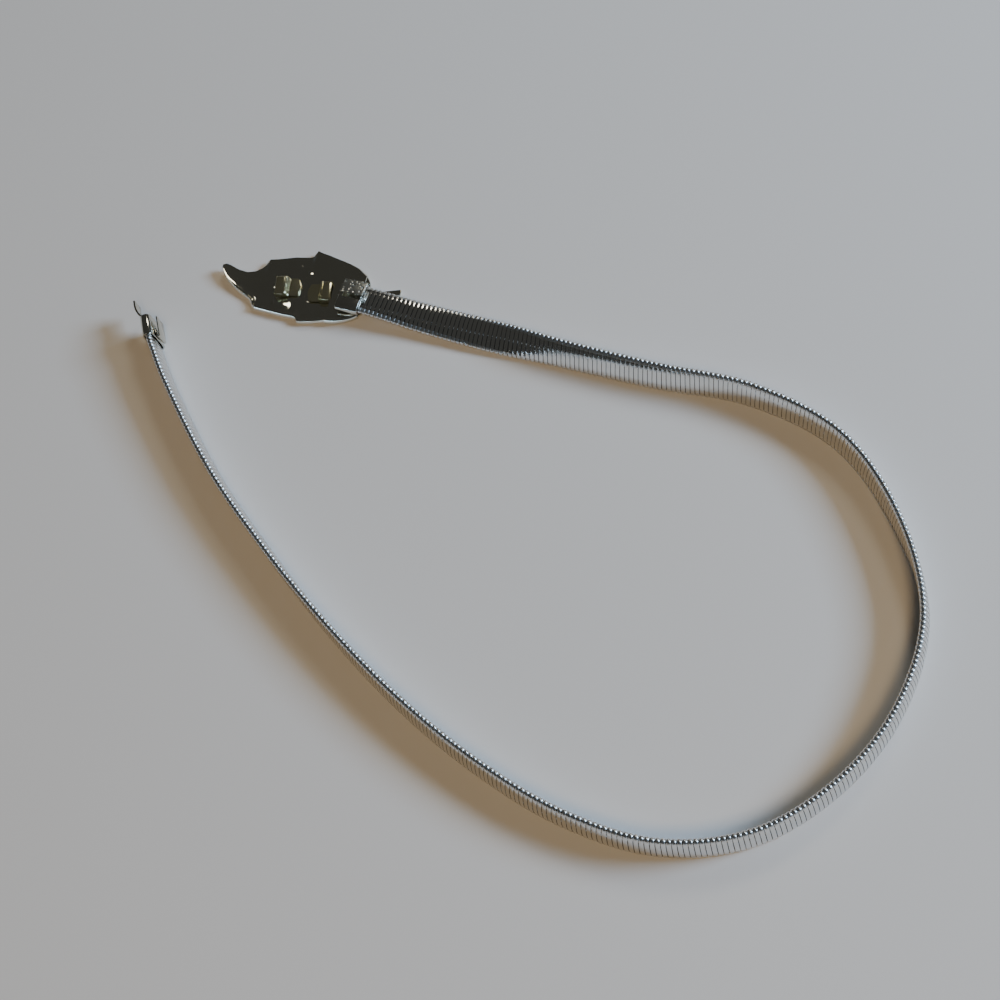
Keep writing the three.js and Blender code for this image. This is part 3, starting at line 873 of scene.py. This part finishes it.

# %% [markdown]
# The latch spring is a thin strip, folded back over itself, that lies on the ferrule and keeps the
# hook from slipping out. It is bent like the hooks, but its fold is tight, so the fold's own points
# are listed one by one. On the rear end its face is hammered, which the finish does with small pits.

# %% Latch springs
SPRING_WIDTH = 0.006
SPRING_THICKNESS = 0.0004
SPRING_FOOT = 0.003
SPRING_OVERHANG = 0.0006
SPRING_RISE = 0.001
SPRING_LEG = 0.0088
REAR_SPRING_OFFSET = 0.0022
FREE_SPRING_OFFSET = -0.0008
SPRING_FOLD = ((0.3, 0.52), (0, 0.76), (0.2, 0.95), (0.55, 1))
foot_line = FERRULE_FACE + SEAT_GAP + SPRING_THICKNESS / 2
fold_line = -FERRULE_GRIP - SPRING_OVERHANG
leg_line = foot_line + SPRING_RISE
spring_line = [
    (SPRING_FOOT - FERRULE_GRIP, foot_line),
    (-FERRULE_GRIP, foot_line),
    *[(fold_line + SPRING_OVERHANG * b, foot_line + SPRING_RISE * r) for b, r in SPRING_FOLD],
    (fold_line + SPRING_LEG, leg_line),
]
spring_line = [Vector(point) for point in spring_line]


def make_spring(name, ends, offset, material, node):
    """One latch spring: its foot, its fold and its long leg."""
    piece = drawn_sheet(spring_line, SPRING_WIDTH)
    thicken(piece, SPRING_THICKNESS, THIN_EDGE)
    origin, out, inner, width_axis = ends
    set_in_place(piece, origin + width_axis * offset, out, inner, width_axis)
    finish_piece(piece, name, material, node)


make_spring("rear_latch_spring", rear_end, REAR_SPRING_OFFSET, hammered_metal, "rear_spring")
make_spring("free_latch_spring", free_end, FREE_SPRING_OFFSET, fitting_metal, "free_spring")

# %% [markdown]
# The buckle is a leaf stamped from one sheet, seen from its back. Its outline is a table of rows
# from the blunt end to the tip. A grid is set up one row for each line of the table, far away from
# its place, and row after row is then narrowed, lifted and moved home. The rim is raised by
# columns first. Subdividing softens the stamping, and Solidify gives the sheet its thickness.

# %% The leaf's place and its outline
PLATE_LENGTH = 0.0594
PLATE_WIDTH = 0.0322
RIM_RISE = 0.0017
TIP_RISE = 0.003
LEAF_START = -0.275
FLAT_SHARE = 0.5
NARROW_LEAF = 0.5
TIP_FLATTEN = 0.85
BRIDGE_LAP = 0.0022
BUCKLE_SWING = math.radians(5.4)
LEAF = [
    # along, far, near, lift, and whether the near edge is flat for the ear
    (0, -0.11, 0.08, 0, True),
    (0.012, -0.21, 0.2, 0, True),
    (0.045, -0.3, 0.245, 0, True),
    (0.1, -0.375, 0.3, 0, True),
    (0.16, -0.42, 0.332, 0, True),
    (0.225, -0.456, 0.353, 0, True),
    (0.24, -0.462, 0.392, 0, False),
    (0.32, -0.505, 0.428, 0, False),
    (0.37, -0.525, 0.446, 0, False),
    (0.405, -0.55, 0.45, 0, False),
    (0.416, -0.535, 0.448, 0, False),
    (0.428, -0.495, 0.428, 0, False),
    (0.438, -0.446, 0.398, 0, False),
    (0.54, -0.426, 0.385, 0, False),
    (0.65, -0.374, 0.357, 0, False),
    (0.716, -0.352, 0.34, 0.02, False),
    (0.73, -0.28, 0.325, 0.03, False),
    (0.75, -0.225, 0.25, 0.06, False),
    (0.78, -0.18, 0.2, 0.12, False),
    (0.83, -0.15, 0.155, 0.25, False),
    (0.89, -0.16, 0.09, 0.47, False),
    (0.95, -0.192, 0.005, 0.75, False),
    (0.98, -0.2, -0.07, 0.9, False),
    (1, -0.172, -0.135, 1, False),
]
bridge_middle = foot_face + HOOK_REACH + BRIDGE_LAP
buckle_place = rear_end[0] + rear_end[1] * bridge_middle
buckle_place += rear_end[3] * HOOK_OFFSET - rear_end[2] * HOOK_STEP
buckle_place.z = 0
buckle_turn = math.atan2(rear_end[1].y, rear_end[1].x) + BUCKLE_SWING


def set_on_buckle(piece, place=(0, 0, 0), turned=0.0):
    """Moves a piece from the buckle's axes to its place. X runs to the tip, Y to the near edge."""
    own = Matrix.Translation(place) @ Matrix.Rotation(turned, 4, "Z")
    whole = Matrix.Translation(buckle_place) @ Matrix.Rotation(buckle_turn, 4, "Z")
    piece.matrix_world = whole @ own
    return apply_place(piece)


print("buckle at:", [round(v, 4) for v in buckle_place], round(math.degrees(buckle_turn), 1))

# %% The leaf's sheet
GRID_AWAY = 2.0
LEAF_COLUMNS = 16
LONGEST_STEP = 0.02
leaf_rows = []
for before, after in zip(LEAF, LEAF[1:]):
    steps = math.ceil((after[0] - before[0]) / LONGEST_STEP)
    for step in range(steps):
        share = step / steps
        mixed = [a + (b - a) * share for a, b in zip(before[:4], after[:4])]
        leaf_rows.append(mixed + [before[4]])
leaf_rows.append(LEAF[-1])


def grid_of_rows(rows, columns):
    """A flat grid away from its place, with one row of points for each line of a table."""
    select_none()
    bpy.ops.mesh.primitive_grid_add(
        x_subdivisions=len(rows) - 1, y_subdivisions=columns, size=1, location=(GRID_AWAY, 0, 0)
    )
    return apply_place(bpy.context.object)


def row_away(number, rows):
    """Where a row of such a grid lies along X."""
    return GRID_AWAY - 0.5 + number / (len(rows) - 1)


leaf = grid_of_rows(leaf_rows, LEAF_COLUMNS)
for column in range(LEAF_COLUMNS + 1):
    share = column / LEAF_COLUMNS
    out = max(0, (abs(2 * share - 1) - FLAT_SHARE) / (1 - FLAT_SHARE))
    if out:
        pick(leaf, lambda co: abs(co.y - (share - 0.5)) < TINY)
        shift_picked(z=RIM_RISE * out * out)
for number, (along, far, near, lift, flat_edge) in enumerate(leaf_rows):
    away = row_away(number, leaf_rows)
    ended = along in (0, 1)
    rim = 0 if ended else min(1, (near - far) / NARROW_LEAF) * (1 - lift * TIP_FLATTEN)
    if flat_edge:
        pick(leaf, lambda co: abs(co.x - away) < TINY and co.y > TINY)
        scale_picked(z=0)
    pick(leaf, lambda co: abs(co.x - away) < TINY)
    scale_picked(y=(near - far) * PLATE_WIDTH, z=rim)
    home = (LEAF_START + along) * PLATE_LENGTH
    shift_picked(x=home - away, y=(near + far) / 2 * PLATE_WIDTH, z=lift * TIP_RISE)
leave_edit()
apply_modifier(leaf, "SUBSURF", levels=2, render_levels=2, boundary_smooth="ALL")
print("leaf sheet:", [round(v, 4) for v in leaf.dimensions], len(leaf.data.polygons))

# %% [markdown]
# The stamp leaves an oval bump and a few small marks on the back. A sculpting brush would do, but
# proportional editing gives the same from code: one point of the sheet is pushed up, and what lies
# round it follows with a soft fall-off. The sheet gets its thickness only after that.

# %% Stamped relief and thickness
MARKS = [
    # along the leaf and across it in millimetres, push up, and reach
    (16.4, 7.4, 1.1, 4.0),
    (19.4, 8.2, 0.35, 1.2),
    (19.0, 5.6, 0.35, 1.1),
    (18.5, 3.4, 0.4, 1.4),
    (22.1, 0.6, 0.35, 1.2),
    (13.3, -9.9, 0.5, 1.6),
    (9.2, -7.2, 0.5, 1.8),
    (-4.9, -11.0, 0.35, 1.3),
    (1.0, -11.0, 0.3, 1.2),
    (-1.6, -10.4, 0.3, 1.2),
    (7.4, 4.9, 0.35, 1.4),
]


def press_mark(sheet, x, y, push, reach):
    """Pushes the nearest point of a sheet up, and what lies round it with a soft fall-off."""
    flat = Vector((x, y))
    nearest = min(sheet.data.vertices, key=lambda vertex: (vertex.co.xy - flat).length)
    middle = nearest.co.copy()
    pick(sheet, lambda co: (co - middle).length < TINY / 10)
    bpy.ops.transform.translate(
        value=(0, 0, push),
        use_proportional_edit=True,
        proportional_edit_falloff="SMOOTH",
        proportional_size=reach,
    )
    leave_edit()


for x, y, push, reach in MARKS:
    press_mark(leaf, x * MM, y * MM, push * MM, reach * MM)
apply_modifier(leaf, "SOLIDIFY", thickness=PLATE_THICKNESS, offset=1, use_even_offset=True)
print("leaf:", [round(v, 4) for v in leaf.dimensions], len(leaf.data.polygons))

# %% [markdown]
# The stem is a narrow tongue of the same sheet that runs on under the band. The ear is a flap of
# the near edge, folded up and back over the leaf. A spin would fold every row about one straight
# axis, but the leaf's edge is curved, so the ear's edge is drawn round its fold in small steps.

# %% Stem and folded ear
STEM_REACH = 0.0115
STEM_WIDTH = 0.0024
EAR_SHEET = 0.0007
EAR_RADIUS = 0.0015
EAR_TUCK = 0.0015
EAR_STEPS = 6
STEM = [
    (-0.08, -0.02, 1.4),
    (0.08, -0.05, 1.1),
    (0.35, -0.09, 0.7),
    (0.6, -0.12, 0.6),
    (0.97, -0.14, 1),
    (1, -0.14, 0.9),
]
EAR = [
    # along the leaf, edge, and how far the flap turns back
    (0.23, 0.4, 0.185),
    (0.17, 0.385, 0.15),
    (0.113, 0.355, 0.1),
    (0.064, 0.315, 0.045),
    (0.035, 0.28, 0.01),
]


def line_of_rows(rows, name_rows):
    """A strip of the sheet, with each row's place and its two edges from a table."""
    piece = grid_of_rows(rows, 1)
    for number, (x, low, high) in enumerate(rows):
        away = row_away(number, rows)
        pick(piece, lambda co: abs(co.x - away) < TINY)
        scale_picked(y=high - low)
        shift_picked(x=x - away, y=(high + low) / 2)
    leave_edit()
    print(name_rows, "rows:", len(rows))
    return piece


stem_rows = []
for along, across, width in STEM:
    middle, half = across * PLATE_WIDTH, width * STEM_WIDTH / 2
    stem_rows.append((LEAF_START * PLATE_LENGTH - along * STEM_REACH, middle - half, middle + half))
stem = line_of_rows(stem_rows[::-1], "stem")
apply_modifier(stem, "SOLIDIFY", thickness=PLATE_THICKNESS, offset=1, use_even_offset=True)

ear_rows = []
for along, edge, flap in EAR[::-1]:
    fold = edge * PLATE_WIDTH - EAR_RADIUS
    ear_rows.append(((LEAF_START + along) * PLATE_LENGTH, fold - EAR_TUCK, fold))
ear = line_of_rows(ear_rows, "ear")
for number in range(1, EAR_STEPS + 1):
    turned = math.pi * number / EAR_STEPS
    step = math.pi / EAR_STEPS
    outer_now = [
        (x, fold + EAR_RADIUS * math.sin(turned - step), EAR_RADIUS * (1 - math.cos(turned - step)))
        for x, _, fold in ear_rows
    ]
    ends = list(zip(outer_now, outer_now[1:]))
    middles = [(Vector(a) + Vector(b)) / 2 for a, b in ends]
    pick(ear, lambda middle, way: any((middle - m).length < TINY for m in middles), "EDGE")
    move = (
        0,
        EAR_RADIUS * (math.sin(turned) - math.sin(turned - step)),
        EAR_RADIUS * (math.cos(turned - step) - math.cos(turned)),
    )
    bpy.ops.mesh.extrude_region_move(TRANSFORM_OT_translate={"value": move})
top_line = 2 * EAR_RADIUS
bpy.ops.mesh.extrude_region_move(TRANSFORM_OT_translate={"value": (0, 0, 0)})
for (x, _, fold), (_, _, flap) in zip(ear_rows, EAR[::-1]):
    bpy.ops.object.mode_set(mode="OBJECT")
    found = [v for v in ear.data.vertices if (v.co - Vector((x, fold, top_line))).length < TINY]
    last = max(found, key=lambda vertex: vertex.index).index
    for vertex in ear.data.vertices:
        vertex.select = vertex.index == last
    bpy.context.tool_settings.mesh_select_mode = (True, False, False)
    bpy.ops.object.mode_set(mode="EDIT")
    shift_picked(y=-flap * PLATE_WIDTH)
leave_edit()
apply_modifier(ear, "SOLIDIFY", thickness=EAR_SHEET, offset=0, use_even_offset=True)
pick(ear, everything)
shift_picked(z=PLATE_THICKNESS / 2)
leave_edit()

# %% Joining the stamped plate
STAMPED_EDGE = 0.00012
STAMPED_CORNER = math.radians(50)
join_pieces(leaf, stem, ear)
apply_modifier(
    leaf, "BEVEL", width=STAMPED_EDGE, segments=2, limit_method="ANGLE", angle_limit=STAMPED_CORNER
)
set_on_buckle(leaf)
finish_piece(leaf, "stamped_leaf", leaf_metal, "buckle_plate", angle=35)

# %% [markdown]
# Two catches are soldered to the leaf's back. Each is a bent strip: a bridge that a hook's tongue
# slides under, and a tab with a rounded end. The strip is bent as the hooks are, with its legs
# down at both sides, and the tab's end is then drawn out to its round shape.

# %% Catches
CATCH_WIDTH = 0.0082
CATCH_SHEET = 0.0006
CATCH_TAB = 0.0054
TAB_BULGE = 0.0012
TAB_INSET = 0.0003
BRIDGE_LENGTH = 0.0041
BRIDGE_CLEAR = 0.0023
BRIDGE_SPACING = 0.0181
BRIDGE_RADIUS = 0.0007
TAB_RADIUS = 0.0006
CATCH_SKEW = math.radians(8)
TAB_CUTS = 8
DOME_DROP = 0.0004
DOME_CUTS = (0.3, 0.5, 0.66, 0.8, 0.9)
TAB_SEAT = PLATE_THICKNESS + SEAT_GAP
strap_line = PLATE_THICKNESS + BRIDGE_CLEAR + CATCH_SHEET / 2
tab_line = TAB_SEAT + CATCH_SHEET / 2


def make_bridge():
    """The bridge: its legs and strap in the plane across the belt."""
    side = (CATCH_WIDTH - CATCH_SHEET) / 2
    path = [(-side, TAB_SEAT), (-side, strap_line), (side, strap_line), (side, TAB_SEAT)]
    bridge = drawn_sheet(eased_path(path, BRIDGE_RADIUS), BRIDGE_LENGTH)
    thicken(bridge, CATCH_SHEET, SOFT_EDGE)
    end = BRIDGE_LENGTH / 2
    for share in DOME_CUTS:
        cut_across(bridge, (0, 0, share * end), (0, 0, 1))
        cut_across(bridge, (0, 0, -share * end), (0, 0, 1))
    leave_edit()
    levels = {round(abs(v.co.z), 6) for v in bridge.data.vertices if v.co.y > strap_line}
    for level in sorted(levels):
        pick(bridge, lambda co: co.y > strap_line and abs(abs(co.z) - level) < TINY / 10)
        shift_picked(y=-DOME_DROP * (level / end) ** 3)
    leave_edit()
    bridge.rotation_euler = (math.pi / 2, 0, math.pi / 2)
    return apply_place(bridge)


def make_tab():
    """The tab: down from the strap and out along the leaf, with a rounded end."""
    start = BRIDGE_LENGTH / 2
    width = CATCH_WIDTH - 2 * TAB_INSET
    path = [
        (start - CATCH_SHEET, strap_line),
        (start, strap_line),
        (start + CATCH_SHEET, tab_line),
        (start + CATCH_TAB - TAB_BULGE, tab_line),
    ]
    line = eased_path(path, TAB_RADIUS)
    tab = drawn_sheet(line, width)
    for number in range(1, TAB_CUTS):
        cut_across(tab, (0, 0, width * (number / TAB_CUTS - 0.5)), (0, 0, 1))
    for number in range(TAB_CUTS + 1):
        z = width * (number / TAB_CUTS - 0.5)
        pick(tab, lambda co: co.x > line[-1][0] - TINY and abs(co.z - z) < TINY)
        shift_picked(x=TAB_BULGE * (1 - (2 * z / width) ** 2))
    leave_edit()
    thicken(tab, CATCH_SHEET, THIN_EDGE)
    tab.rotation_euler = (math.pi / 2, 0, 0)
    return apply_place(tab)


def make_catch(name, along, turned, node):
    """One catch: its bridge and its tab, joined and set on the leaf's back."""
    catch = join_pieces(make_bridge(), make_tab())
    set_on_buckle(catch, (along, 0, 0), turned)
    finish_piece(catch, name, catch_metal, node, angle=30)


make_catch("rear_bridge_catch", 0, CATCH_SKEW, "rear_catch")
make_catch("front_bridge_catch", BRIDGE_SPACING, CATCH_SKEW + math.pi, "front_catch")
